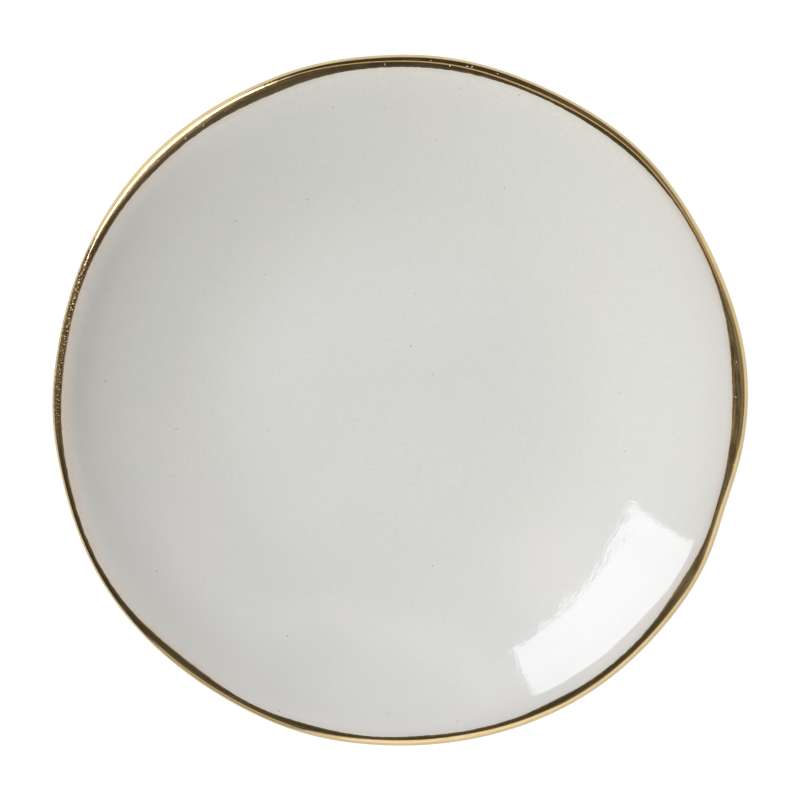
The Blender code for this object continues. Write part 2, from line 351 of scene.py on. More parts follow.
# The glaze is tinted warmer and darker next to the band, most at the left.
HALO_LOBES = ((196, 0.58, 44), (25, 0.50, 22), (340, 0.40, 16), (130, 0.15, 40))
HALO_REACH = ((185, 0.85, 42),)
from_band = RIM_RADIUS - np.array(coat.rows)[:, :, 0] - (BAND_WIDTH + lobes(az, BAND_SWINGS))[None, :]
halo = (0.30 + lobes(az, HALO_LOBES))[None, :] * np.exp(-(np.maximum(from_band, 0.0) / (0.70 + lobes(az, HALO_REACH))[None, :]) ** 2)
halo[105:] = 0.0
attribute = glaze.data.attributes.new("halo", "FLOAT", "POINT")
attribute.data.foreach_set("value", np.concatenate([halo.ravel(), [0.0, 0.0]]).astype(np.float32))

# ------------------------------------------------------------------ lustre band
azb = np.arange(1080) / 3.0
upper_b = Upper(azb)
inner_edge = BAND_WIDTH + lobes(azb, BAND_SWINGS)
on_circle = [(math.cos(math.radians(a)), math.sin(math.radians(a))) for a in azb]
inner_edge = inner_edge + np.array([0.07 * noise.noise(Vector((c * 45, s * 45, 2.0)))
                                    + 0.05 * noise.noise(Vector((c * 110, s * 110, 7.0))) for c, s in on_circle])
lower_edge = 0.60 + 0.07 * np.sin(np.radians(5 * azb + 30)) + 0.05 * np.sin(np.radians(11 * azb + 100)) \
    + np.array([0.06 * noise.noise(Vector((c * 30, s * 30, 12.0))) for c, s in on_circle])
film = Rings(azb)
for k in range(0, 37):
    r = RIM_RADIUS - inner_edge * (1.0 - math.sin(math.radians(90.0 * k / 36.0)))
    film.add(r, upper_b.height(r))
for k in range(1, 13):
    film.add(*upper_b.under_nose(lower_edge * k / 12.0))
grid = film.shaped()
normals = ring_grid_normals(grid)
lift = np.full(grid.shape[0], 0.014)
wave = undulation(grid)
face = grid + normals * (wave + lift[:, None])[:, :, None]
back = (grid + normals * (wave - 0.10)[:, :, None])[::-1][::6]
band = ring_mesh("gold_rim_brushed", np.concatenate([face, back]), loop=True)
# The lustre thins to a matt line at its inner edge, and is brushed thin where
# the band swings wide.
EDGE_LOBES = ((168, 0.35, 26), (230, 0.35, 9), (312, 0.25, 30), (5, 0.20, 16))
SWING_LOBES = ((4, 0.60, 11), (327, 0.12, 9), (353, 0.70, 7), (112, 0.13, 10), (132, 0.10, 12), (231, 0.05, 7))
ring_number = np.arange(37)
from_edge = inner_edge[None, :] * np.sin(np.radians(90.0 * ring_number / 36.0))[:, None]
thin_line = (0.55 + lobes(azb, EDGE_LOBES))[None, :] * np.exp(-(from_edge / 0.20) ** 2)
thin_swing = lobes(azb, SWING_LOBES)[None, :] * (1.0 - smooth(from_edge / (0.62 * inner_edge[None, :])))
thin = np.zeros((face.shape[0] + back.shape[0], len(azb)))
STREAK_LOBES = ((330, 0.32, 6), (2, 0.35, 9), (349, 0.50, 6), (110, 0.06, 9), (133, 0.20, 8), (15, 0.25, 6), (230, 0.04, 8))
across_band = from_edge / inner_edge[None, :]
thin_streak = lobes(azb, STREAK_LOBES)[None, :] * np.exp(-((across_band - 0.42) / 0.16) ** 2)
thin[:37] = np.clip(thin_line + np.maximum(thin_swing, thin_streak), 0.0, 1.0)
attribute = band.data.attributes.new("thin", "FLOAT", "POINT")
attribute.data.foreach_set("value", thin.ravel().astype(np.float32))
# and it is satin where the brush overlapped its first stroke
SATIN_LOBES = ((131, 1.0, 9), (142, 0.85, 6), (120, 0.5, 6), (330, 0.2, 7), (350, 0.5, 8), (12, 0.4, 8))
satin = np.zeros_like(thin)
satin[:37] = lobes(azb, SATIN_LOBES)[None, :] * np.exp(-((across_band - 0.43) / 0.16) ** 2)
attribute = band.data.attributes.new("satin", "FLOAT", "POINT")
attribute.data.foreach_set("value", np.clip(satin, 0.0, 1.0).ravel().astype(np.float32))
# and its last line over the glaze is a paler tan at some places
TAN_LOBES = ((30, 0.70, 14), (168, 0.80, 15), (229, 0.85, 9), (297, 0.35, 6), (324, 0.70, 9))
tan_line = np.zeros_like(thin)
tan_line[:37] = lobes(azb, TAN_LOBES)[None, :] * np.exp(-(from_edge / 0.22) ** 2)
attribute = band.data.attributes.new("tan_line", "FLOAT", "POINT")
attribute.data.foreach_set("value", np.clip(tan_line, 0.0, 1.0).ravel().astype(np.float32))

# ------------------------------------------------------------------ clay body
body = Rings(az)
deep = GLAZE - 0.05
for r in (3.0, 12.0, 24.0, 34.0, 44.0, 52.0, 58.0, 63.0, 67.0, 69.5):
    tilt = np.radians(slope_at(min(r, STEEPEST_RADIUS)))
    body.add(r + deep * np.sin(tilt), upper.height(r) - deep * np.cos(tilt) - (0.1 if r > 69 else 0.0))
body.add(RIM_RADIUS - upper.crown - 0.4, upper.top - deep - 0.15)
body.add(RIM_RADIUS - upper.crown, upper.top - deep - 0.05)
body.add(RIM_RADIUS - deep - 0.35, upper.top - NOSE_RADIUS + 0.55)
body.add(RIM_RADIUS - deep - 0.05, upper.top - NOSE_RADIUS)
body.add(RIM_RADIUS - deep - 0.45, upper.top - NOSE_RADIUS - 0.7)
for r_in in (OUTSIDE_START, 67.0, 62.0, 56.0, 50.0, 46.0):
    body.add(*upper.outside(r_in, deep))
for k in range(0, 12):
    body.add(*upper.outside(44.4 + (41.0 - 44.4) * k / 11.0, BARE_CLAY))
foot_out = FOOT_OUTER_RADIUS - BARE_CLAY
last_r, last_z = float(body.rows[-1][0, 0]), float(body.rows[-1][0, 1])
for k in range(1, 13):
    a = math.radians(90.0 * k / 12.0)
    body.add(last_r + (foot_out - last_r) * math.sin(a), last_z + (FOOT_ROUNDING + 0.5 - last_z) * (1 - math.cos(a)))
for k in range(0, 9):
    a = math.radians(90.0 * k / 8.0)
    body.add(foot_out - FOOT_ROUNDING * (1 - math.cos(a)), FOOT_ROUNDING * (1 - math.sin(a)))
inner_flat = FOOT_INNER_RADIUS + FOOT_ROUNDING
for k in range(1, 15):
    body.add(foot_out - FOOT_ROUNDING + (inner_flat - foot_out + FOOT_ROUNDING) * k / 14.0, 0.0)
for k in range(1, 9):
    a = math.radians(90.0 * k / 8.0)
    body.add(FOOT_INNER_RADIUS + FOOT_ROUNDING * (1 - math.sin(a)), FOOT_ROUNDING * (1 - math.cos(a)))
for r, z in ((36.32, 1.0), (36.22, 1.5), (36.05, 2.0), (35.75, 2.35), (35.3, 2.58), (34.6, 2.7),
             (33.5, 2.75), (25.0, 2.75), (12.0, 2.75), (3.0, 2.75)):
    body.add(r, z)
grid = body.shaped()
clay = ring_mesh("stoneware_body_bare", grid, start_pole=(0.0, 0.0, HEIGHT_WELL - deep),
                 end_pole=(0.0, 0.0, 2.75))

# ------------------------------------------------------------------ base glaze
island = Rings(az)
rim_wave = 0.25 * np.sin(np.radians(4 * az + 70)) + 0.15 * np.sin(np.radians(9 * az)) + 0.07 * np.sin(np.radians(23 * az))
island.add(10.0, 2.80)
island.add(34.0, 2.80)
edge = 35.1 + rim_wave * 0.7
for deg in range(0, 181, 20):
    s, c = math.sin(math.radians(deg)), math.cos(math.radians(deg))
    island.add(edge - 0.34 + 0.34 * s, 2.36 + 0.36 * c)
hidden = len(island.rows)
for r in np.linspace(34.4, 2.0, 36):
    island.add(np.minimum(r, edge - 0.45), 2.0)
grid = island.shaped()
grid[hidden:, :, 2] += np.abs(waviness(grid[hidden:], 21, 18.0, 0.05)) + np.abs(waviness(grid[hidden:], 22, 6.0, 0.012))
base = ring_mesh("base_glaze_fired", grid, start_pole=(0.0, 0.0, 2.80), end_pole=(0.0, 0.0, 2.0))

# ------------------------------------------------------------------ iron specks
# Small iron specks that burnt through the glaze, each a low closed lens:
# place across and up from the middle (mm), radius (mm), and how dark.
SPECKS = ((-14.5, 63.4, 0.17, 1), (-3.5, 63.2, 0.15, 1), (-20.2, 43.7, 0.16, 1), (-35.8, 38.9, 0.19, 1),
          (-29.5, 27.4, 0.15, 0), (-63.9, 4.1, 0.21, 1), (12.7, 67.4, 0.14, 0), (7.7, 56.4, 0.16, 1),
          (22.7, 46.1, 0.15, 1), (25.7, 65.9, 0.16, 1), (7.1, 5.6, 0.15, 0), (2.3, 11.7, 0.16, 1),
          (47.8, 1.5, 0.15, 1), (3.2, 23.2, 0.13, 0), (-48.8, -6.3, 0.19, 1), (-28.9, -6.7, 0.14, 1),
          (-24.5, -51.3, 0.18, 1), (-52.8, -37.0, 0.19, 1), (-26.2, -67.1, 0.20, 1), (-2.4, -67.9, 0.15, 1),
          (48.9, -11.1, 0.16, 1), (7.1, -36.2, 0.15, 0), (12.3, -69.4, 0.15, 1))
# Small bare nicks in the lustre, and, as the last four at the left of the rim, pale spots that are painted glints:
# place, radius, how much longer than wide, and the long side's direction (degrees).
NICKS_AND_GLINTS = ((-3.32, 72.48, 0.11, 2.6, 125), (6.60, 73.35, 0.11, 1.3, 20), (10.77, 72.20, 0.17, 1.5, 80), (14.45, 72.09, 0.19, 1.4, 10),
         (15.53, 72.00, 0.20, 1.3, 70), (21.09, 70.49, 0.12, 1.6, 140), (72.66, 8.21, 0.15, 1.3, 100), (72.45, 0.64, 0.13, 2.2, 150),
         (72.01, -14.08, 0.13, 1.5, 70), (-42.52, 59.35, 0.13, 2.4, 60), (-46.36, 56.53, 0.14, 2.8, 50), (-52.19, 51.71, 0.14, 2.6, 40),
         (-71.34, 14.21, 0.11, 1.6, 80), (-72.60, 2.70, 0.11, 1.4, 95), (-67.05, 32.66, 0.13, 1.5, 60), (-68.42, 29.19, 0.11, 1.4, 65))


def lens_piece(name, target, places):
    """Low closed lenses sitting on a piece's upper face, in one mesh."""
    tree = BVHTree.FromObject(target, bpy.context.evaluated_depsgraph_get())
    verts, faces = [], []
    for x, y, radius, stretch, turned in places:
        hit, normal, _index, _distance = tree.ray_cast(Vector((x, y, 40.0)) * MM, Vector((0.0, 0.0, -1.0)))
        if hit is None:
            continue
        aim = Vector((math.cos(math.radians(turned)), math.sin(math.radians(turned)), 0.0))
        across = (aim - normal * aim.dot(normal)).normalized()
        along = normal.cross(across)
        first = len(verts)
        for level, size in ((-0.05, 0.9), (0.004, 1.0), (0.016, 0.62)):
            for k in range(10):
                a = 2 * math.pi * k / 10
                wobble = 1.0 + 0.22 * math.sin(2 * a + x) + 0.12 * math.sin(3 * a + y)
                verts.append(hit + (across * math.cos(a) * stretch + along * math.sin(a)) * radius * size * wobble * MM + normal * level * MM)
        verts.append(hit + normal * 0.019 * MM)
        verts.append(hit - normal * 0.06 * MM)
        for ring in range(2):
            for k in range(10):
                n = (k + 1) % 10
                faces.append((first + ring * 10 + k, first + ring * 10 + n, first + ring * 10 + 10 + n, first + ring * 10 + 10 + k))
        for k in range(10):
            n = (k + 1) % 10
            faces.append((first + 20 + k, first + 20 + n, first + 30))
            faces.append((first + n, first + k, first + 31))
    mesh = bpy.data.meshes.new(name)
    mesh.from_pydata(verts, [], faces)
    mesh.shade_smooth()
    piece = bpy.data.objects.new(name, mesh)
    bpy.context.scene.collection.objects.link(piece)
    return piece


specks = lens_piece("glaze_specks", glaze, [(x, y, r, 1.0, 0.0) for x, y, r, _dark in SPECKS])
# pale lenses: bare nicks, and painted glints on the left of the rim
nicks_and_glints = lens_piece("lustre_nicks_and_glints", band, NICKS_AND_GLINTS)


# ------------------------------------------------------------------ node helpers
class Nodes:
    def __init__(self, tree):
        self.tree = tree

    def make(self, kind, **values):
        node = self.tree.nodes.new(kind)
        for key, value in values.items():
            if key.startswith("in_"):
                socket = node.inputs[int(key[3:])] if key[3:].isdigit() else node.inputs[key[3:].replace("_", " ")]
                self.put(socket, value)
            else:
                setattr(node, key, value)
        return node

    def put(self, socket, value):
        if isinstance(value, bpy.types.NodeSocket):
            self.tree.links.new(value, socket)
        elif isinstance(value, bpy.types.Node):
            self.tree.links.new(value.outputs[0], socket)
        else:
            socket.default_value = value

    def math(self, operation, *values, clamp=False):
        node = self.tree.nodes.new("ShaderNodeMath")
        node.operation = operation
        node.use_clamp = clamp
        for k, value in enumerate(values):
            self.put(node.inputs[k], value)
        return node.outputs[0]

    def step(self, value, low, high, out_low=0.0, out_high=1.0):
        node = self.tree.nodes.new("ShaderNodeMapRange")
        node.interpolation_type = "SMOOTHSTEP"
        self.put(node.inputs["Value"], value)
        self.put(node.inputs["From Min"], low)
        self.put(node.inputs["From Max"], high)
        self.put(node.inputs["To Min"], out_low)
        self.put(node.inputs["To Max"], out_high)
        return node.outputs["Result"]

    def mix(self, factor, a, b, blend="MIX"):
        node = self.tree.nodes.new("ShaderNodeMix")
        node.data_type = "RGBA"
        node.blend_type = blend
        self.put(node.inputs[0], factor)
        self.put(node.inputs[6], a)
        self.put(node.inputs[7], b)
        return node.outputs[2]

    def noise(self, vector, scale, detail=2.0, rough=0.5, distortion=0.0):
        node = self.tree.nodes.new("ShaderNodeTexNoise")
        self.put(node.inputs["Vector"], vector)
        node.inputs["Scale"].default_value = scale
        node.inputs["Detail"].default_value = detail
        node.inputs["Roughness"].default_value = rough
        node.inputs["Distortion"].default_value = distortion
        return node.outputs[0]


def new_material(name):
    material = bpy.data.materials.new(name)
    material.use_nodes = True
    tree = material.node_tree
    for node in list(tree.nodes):
        tree.nodes.remove(node)
    n = Nodes(tree)
    out = tree.nodes.new("ShaderNodeOutputMaterial")
    shader = tree.nodes.new("ShaderNodeBsdfPrincipled")
    tree.links.new(shader.outputs[0], out.inputs[0])
    place = tree.nodes.new("ShaderNodeTexCoord").outputs["Object"]
    return material, n, shader, place


def azimuth_bump(n, azimuth, centre, half):
    """Smooth hump of an azimuth (radians) about a centre (degrees)."""
    away = n.math("ABSOLUTE", n.math("WRAP", n.math("SUBTRACT", azimuth, math.radians(centre)), math.pi, -math.pi))
    return n.step(away, math.radians(half), 0.0)


# ------------------------------------------------------------------ materials
def glaze_material(name, tint_rim=True):
    material, n, shader, place = new_material(name)
    split = n.make("ShaderNodeSeparateXYZ", in_0=place)
    x, y = split.outputs[0], split.outputs[1]
    radius = n.math("SQRT", n.math("ADD", n.math("MULTIPLY", x, x), n.math("MULTIPLY", y, y)))
    azimuth = n.math("ARCTAN2", y, x)
    cloud = n.noise(place, 34.0, 4.0, 0.55)
    fine = n.noise(place, 420.0, 3.0, 0.6)
    grain = n.noise(place, 1500.0, 3.0, 0.75)
    tone = n.mix(n.step(cloud, 0.30, 0.70), (0.806, 0.818, 0.776, 1.0), (0.828, 0.840, 0.797, 1.0))
    if tint_rim:
        # the wall is less green than the well, and pinker at the near side
        wall = n.step(radius, 0.026, 0.046)
        near_side = n.step(y, -0.004, -0.044)
        wall_tone = n.mix(near_side, (0.832, 0.821, 0.779, 1.0), (0.815, 0.811, 0.808, 1.0))
        tone = n.mix(n.math("MULTIPLY", wall, n.step(cloud, 0.25, 0.75, 1.0, 0.72)), tone, wall_tone)
        # warmer toward the lip, and a little darker there, which is painted shade; paler at the far side than
        # elsewhere, which is painted light
        painted_light_far_side = n.step(n.math("ABSOLUTE", n.math("SUBTRACT", azimuth, math.radians(90.0))), math.radians(72.0), math.radians(30.0))
        near_tone = n.mix(near_side, (0.780, 0.752, 0.692, 1.0), (0.775, 0.758, 0.724, 1.0))
        # painted light: the far side of the lip zone is paler
        near_tone = n.mix(painted_light_far_side, near_tone, (0.905, 0.880, 0.780, 1.0))
        tone = n.mix(n.math("MULTIPLY", n.step(radius, 0.0640, 0.0720), 0.75), tone, near_tone)
        # painted shade, darker and warmer, under the lip along the left and a little at the right
        left = n.math("ABSOLUTE", n.math("WRAP", n.math("SUBTRACT", azimuth, math.radians(188.0)), math.pi, -math.pi))
        right = n.math("MULTIPLY", azimuth_bump(n, azimuth, 350.0, 50.0), 0.45)
        painted_shade_under_lip = n.math("MAXIMUM", n.step(left, math.radians(75.0), math.radians(35.0)), right)
        reach_in = n.step(radius, 0.0560, 0.0725)
        tone = n.mix(n.math("MULTIPLY", n.math("MULTIPLY", painted_shade_under_lip, reach_in), n.step(cloud, 0.25, 0.75, 0.52, 0.64)), tone, (0.690, 0.664, 0.622, 1.0))
        # painted shade at its deepest, at the left of the lip
        deepest_painted_shade_left = n.math("MULTIPLY", azimuth_bump(n, azimuth, 170.0, 34.0), n.step(radius, 0.0655, 0.0712))
        tone = n.mix(n.math("MULTIPLY", deepest_painted_shade_left, 0.50), tone, (0.600, 0.565, 0.530, 1.0))
        halo = material.node_tree.nodes.new("ShaderNodeAttribute")
        halo.attribute_name = "halo"
        patchy = n.step(n.noise(place, 90.0, 3.0, 0.55), 0.25, 0.75, 0.70, 1.20)
        tone = n.mix(n.math("MULTIPLY", halo.outputs["Fac"], patchy), tone, (0.700, 0.585, 0.470, 1.0))
        # two faint blemishes in the well
        for at_x, at_y, size, share in ((0.0069, 0.0346, 0.0014, 0.10), (0.0038, -0.0147, 0.0016, 0.12)):
            off = n.make("ShaderNodeVectorMath", operation="DISTANCE", in_0=place, in_1=(at_x, at_y, 0.0068)).outputs["Value"]
            tone = n.mix(n.math("MULTIPLY", n.step(off, size, 0.0), n.step(fine, 0.3, 0.7, share, 2.0 * share)), tone, (0.66, 0.67, 0.63, 1.0))
    tone = n.mix(n.math("MULTIPLY", n.step(fine, 0.35, 0.75), 0.18), tone, (0.770, 0.772, 0.735, 1.0))
    tone = n.mix(n.math("MULTIPLY", n.step(grain, 0.42, 0.72), 0.42), tone, (0.740, 0.742, 0.705, 1.0))
    n.put(shader.inputs["Base Color"], tone)
    rough = n.step(n.noise(place, 160.0, 3.0, 0.5), 0.3, 0.7, 0.014, 0.034)
    n.put(shader.inputs["Roughness"], rough)
    shader.inputs["IOR"].default_value = 1.56
    peel = n.noise(place, 1500.0, 0.8, 0.4)
    swell = n.noise(place, 380.0, 0.0, 0.5)
    height = n.math("ADD", n.math("MULTIPLY", peel, 1.05), n.math("MULTIPLY", swell, 1.4))
    bump = n.make("ShaderNodeBump", in_Strength=1.0, in_Distance=0.0000065, in_Height=height)
    n.put(shader.inputs["Normal"], bump.outputs[0])
    return material


def lustre_material():
    material, n, shader, place = new_material("gold_lustre_fired")
    split = n.make("ShaderNodeSeparateXYZ", in_0=place)
    azimuth = n.math("ARCTAN2", split.outputs[1], split.outputs[0])
    thin = material.node_tree.nodes.new("ShaderNodeAttribute")
    thin.attribute_name = "thin"
    thin = thin.outputs["Fac"]
    satin = material.node_tree.nodes.new("ShaderNodeAttribute")
    satin.attribute_name = "satin"
    satin = satin.outputs["Fac"]
    tan_line = material.node_tree.nodes.new("ShaderNodeAttribute")
    tan_line.attribute_name = "tan_line"
    tan_line = tan_line.outputs["Fac"]
    streak = n.noise(place, 900.0, 3.0, 0.6)
    patch = n.noise(place, 120.0, 3.0, 0.5)
    radius = n.math("SQRT", n.math("ADD", n.math("MULTIPLY", split.outputs[0], split.outputs[0]),
                                   n.math("MULTIPLY", split.outputs[1], split.outputs[1])))
    # brush marks run along the rim
    unrolled = n.make("ShaderNodeCombineXYZ", in_0=n.math("MULTIPLY", azimuth, 0.0085), in_1=radius, in_2=0.0)
    brush = n.noise(unrolled.outputs[0], 2000.0, 3.0, 0.65)
    from_left = n.math("ABSOLUTE", n.math("WRAP", n.math("SUBTRACT", azimuth, math.radians(169.0)), math.pi, -math.pi))
    pebbled = n.math("MAXIMUM", n.step(from_left, math.radians(21.0), math.radians(11.0)), n.math("MULTIPLY", azimuth_bump(n, azimuth, 205.0, 26.0), 0.30))
    mottle = n.noise(place, 2100.0, 2.0, 0.6)
    tone = n.mix(n.step(patch, 0.35, 0.7), (0.93, 0.735, 0.400, 1.0), (0.90, 0.700, 0.375, 1.0))
    tone = n.mix(n.math("MULTIPLY", n.step(streak, 0.5, 0.8), 0.25), tone, (0.72, 0.54, 0.29, 1.0))
    tone = n.mix(n.math("MULTIPLY", n.step(brush, 0.46, 0.66), 0.32), tone, (0.66, 0.47, 0.22, 1.0))
    tone = n.mix(n.math("MULTIPLY", n.step(mottle, 0.42, 0.62), n.math("MULTIPLY", pebbled, 0.75)), tone, (0.42, 0.31, 0.18, 1.0))
    thinned = n.step(thin, 0.0, 0.55)
    tone = n.mix(thinned, tone, (0.30, 0.205, 0.085, 1.0))
    tone = n.mix(n.math("MULTIPLY", n.step(brush, 0.42, 0.58), n.math("MULTIPLY", thinned, 0.85)), tone, (0.115, 0.075, 0.033, 1.0))
    tone = n.mix(n.math("MULTIPLY", tan_line, n.step(streak, 0.35, 0.65, 1.0, 0.70)), tone, (0.56, 0.40, 0.205, 1.0))
    n.put(shader.inputs["Base Color"], tone)
    # a worn or thin film lets the brown of the fired resin show
    worn = n.math("MULTIPLY", n.step(brush, 0.50, 0.66), n.step(patch, 0.40, 0.60, 0.01, 0.08))
    film = n.math("MAXIMUM", n.math("MULTIPLY", thin, 0.80), worn)
    film = n.math("MAXIMUM", film, n.math("MULTIPLY", tan_line, 0.85))
    n.put(shader.inputs["Metallic"], n.math("SUBTRACT", 1.0, film))
    polished = n.step(n.noise(place, 300.0, 3.0, 0.6), 0.3, 0.7, 0.05, 0.11)
    brushed = n.math("ADD", 0.36, n.math("MULTIPLY", streak, 0.18))
    polished = n.math("ADD", polished, n.math("MULTIPLY", satin, n.step(brush, 0.35, 0.60, 0.44, 0.28)))
    n.put(shader.inputs["Roughness"], n.math("ADD", n.math("MULTIPLY", polished, n.math("SUBTRACT", 1.0, thin)),
                                             n.math("MULTIPLY", brushed, thin)))
    height = n.math("ADD", n.math("MULTIPLY", n.noise(place, 1700.0, 2.0, 0.6), 0.5), n.noise(place, 500.0, 2.0, 0.5))
    fine = n.make("ShaderNodeBump", in_Strength=1.0, in_Distance=0.000010, in_Height=height)
    # pebbled where the lustre wrinkled in the kiln, along the left of the rim
    pimples = n.step(n.noise(place, 2600.0, 1.0, 0.5), 0.52, 0.68, 0.0, 0.50)
    pebbles = n.math("MULTIPLY", n.math("ADD", pimples, n.math("MULTIPLY", n.noise(place, 900.0, 1.0, 0.5), 0.6)), pebbled)
    rough = n.make("ShaderNodeBump", in_Strength=1.0, in_Distance=0.000036, in_Height=pebbles, in_Normal=fine.outputs[0])
    n.put(shader.inputs["Normal"], rough.outputs[0])
    return material


def clay_material():
    material, n, shader, place = new_material("bare_stoneware_sandy")
    split = n.make("ShaderNodeSeparateXYZ", in_0=place)
    x, y = split.outputs[0], split.outputs[1]
    radius = n.math("SQRT", n.math("ADD", n.math("MULTIPLY", x, x), n.math("MULTIPLY", y, y)))
    cloud = n.noise(place, 60.0, 4.0, 0.6)
    grog = n.noise(place, 1400.0, 3.0, 0.7)
    tone = n.mix(n.step(cloud, 0.3, 0.7), (0.60, 0.48, 0.37, 1.0), (0.68, 0.57, 0.46, 1.0))
    tone = n.mix(n.step(grog, 0.58, 0.70), tone, (0.36, 0.26, 0.18, 1.0))
    n.put(shader.inputs["Base Color"], tone)
    n.put(shader.inputs["Roughness"], n.step(grog, 0.3, 0.7, 0.78, 0.92))
    turning = n.math("SINE", n.math("MULTIPLY", radius, 2.0 * math.pi / 0.00045))
    height = n.math("ADD", n.math("MULTIPLY", grog, 1.0), n.math("MULTIPLY", turning, 0.12))
    bump = n.make("ShaderNodeBump", in_Strength=0.8, in_Distance=0.00012, in_Height=height)
    n.put(shader.inputs["Normal"], bump.outputs[0])
    return material


def speck_material():
    material, n, shader, place = new_material("iron_speck")
    mottle = n.noise(place, 2500.0, 2.0, 0.6)
    n.put(shader.inputs["Base Color"], n.mix(n.step(mottle, 0.35, 0.65), (0.40, 0.33, 0.25, 1.0), (0.56, 0.49, 0.40, 1.0)))
    n.put(shader.inputs["Roughness"], n.step(mottle, 0.3, 0.7, 0.25, 0.45))
    bump = n.make("ShaderNodeBump", in_Strength=0.5, in_Distance=0.00001, in_Height=mottle)
    n.put(shader.inputs["Normal"], bump.outputs[0])
    return material


# pale matt spots on the lustre: bare nicks, and painted glints
def nick_and_glint_material():
    material, n, shader, place = new_material("lustre_nick_and_glint")
    mottle = n.noise(place, 2500.0, 2.0, 0.6)
    n.put(shader.inputs["Base Color"], n.mix(n.step(mottle, 0.35, 0.65), (0.50, 0.42, 0.31, 1.0), (0.74, 0.66, 0.53, 1.0)))
    n.put(shader.inputs["Roughness"], n.step(mottle, 0.3, 0.7, 0.20, 0.40))
    bump = n.make("ShaderNodeBump", in_Strength=0.5, in_Distance=0.00001, in_Height=mottle)
    n.put(shader.inputs["Normal"], bump.outputs[0])
    return material


glaze.data.materials.append(glaze_material("glaze_off_white"))
base.data.materials.append(glaze_material("glaze_off_white_base", tint_rim=False))
band.data.materials.append(lustre_material())
clay.data.materials.append(clay_material())
specks.data.materials.append(speck_material())
nicks_and_glints.data.materials.append(nick_and_glint_material())

for piece, node, slot in ((glaze, "glaze_coat", "glaze"), (base, "base_glaze", "glaze"),
                          (band, "gold_rim", "gold_lustre"), (clay, "stoneware_body", "bare_stoneware")):
    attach(piece, "root")
    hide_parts(node)
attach(specks, "root")
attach(nicks_and_glints, "root")

# ------------------------------------------------------------------ the floor
floor_mesh = bpy.data.meshes.new("floor")
side = 3.0
floor_mesh.from_pydata([(-side, -side, 0), (side, -side, 0), (side, side, 0), (-side, side, 0)], [], [(0, 1, 2, 3)])
floor = bpy.data.objects.new("floor", floor_mesh)
floor.location.z = -0.00002
bpy.context.scene.collection.objects.link(floor)
floor_material = bpy.data.materials.new("floor_white")
floor_material.use_nodes = True
floor_shader = floor_material.node_tree.nodes["Principled BSDF"]
floor_shader.inputs["Base Color"].default_value = (0.14, 0.14, 0.14, 1.0)
floor_shader.inputs["Roughness"].default_value = 1.0
floor_shader.inputs["Specular IOR Level"].default_value = 0.0
floor_shader.inputs["Emission Color"].default_value = (1.0, 1.0, 1.0, 1.0)
f = Nodes(floor_material.node_tree)
spot = f.make("ShaderNodeSeparateXYZ", in_0=floor_material.node_tree.nodes.new("ShaderNodeTexCoord").outputs["Object"])
spot_radius = f.math("SQRT", f.math("ADD", f.math("MULTIPLY", spot.outputs[0], spot.outputs[0]),
                                    f.math("MULTIPLY", spot.outputs[1], spot.outputs[1])))
# the table gets less light close round the foot, under the overhanging wall
f.put(floor_shader.inputs["Emission Strength"], f.step(spot_radius, 0.040, 0.073, 0.42, 0.94))
floor_mesh.materials.append(floor_material)
floor.visible_glossy = False

# ------------------------------------------------------------------ the light
world = bpy.data.worlds.new("studio")
bpy.context.scene.world = world
world.use_nodes = True
world.cycles_visibility.diffuse = False
for node in list(world.node_tree.nodes):
    world.node_tree.nodes.remove(node)
w = Nodes(world.node_tree)
direction = world.node_tree.nodes.new("ShaderNodeTexCoord").outputs["Generated"]
parts = w.make("ShaderNodeSeparateXYZ", in_0=direction)
azimuth = w.math("ARCTAN2", parts.outputs[1], parts.outputs[0])
height = w.math("ARCSINE", parts.outputs[2])


def away_from(centre):
    return w.math("ABSOLUTE", w.math("WRAP", w.math("SUBTRACT", azimuth, math.radians(centre)), math.pi, -math.pi))


def panel(centre, half, low, high, edge=2.0, high_edge=None, side_edge=None):
    """A soft-edged panel of light: azimuth centre and half width, lowest and
    highest elevation, all in degrees."""
    side_edge = edge if side_edge is None else side_edge
    wide = w.step(away_from(centre), math.radians(half + side_edge), math.radians(half - side_edge))
    above = w.step(height, math.radians(low - edge), math.radians(low + edge))
    e = edge if high_edge is None else high_edge
    if isinstance(high, (int, float)):
        below = w.step(height, math.radians(high + e), math.radians(high - e))
    else:
        below = w.step(w.math("SUBTRACT", height, high), math.radians(e), math.radians(-e))
    return w.math("MULTIPLY", wide, w.math("MULTIPLY", above, below))


total = None


def add_light(mask, strength, colour=(1.0, 1.0, 1.0)):
    global total
    scaled = w.mix(1.0, (0.0, 0.0, 0.0, 1.0), (0.0, 0.0, 0.0, 1.0))
    node = world.node_tree.nodes.new("ShaderNodeVectorMath")
    node.operation = "SCALE"
    node.inputs[0].default_value = tuple(c * strength for c in colour)
    w.put(node.inputs["Scale"], mask)
    if total is None:
        total = node.outputs[0]
    else:
        plus = world.node_tree.nodes.new("ShaderNodeVectorMath")
        plus.operation = "ADD"
        w.put(plus.inputs[0], total)
        w.put(plus.inputs[1], node.outputs[0])
        total = plus.outputs[0]


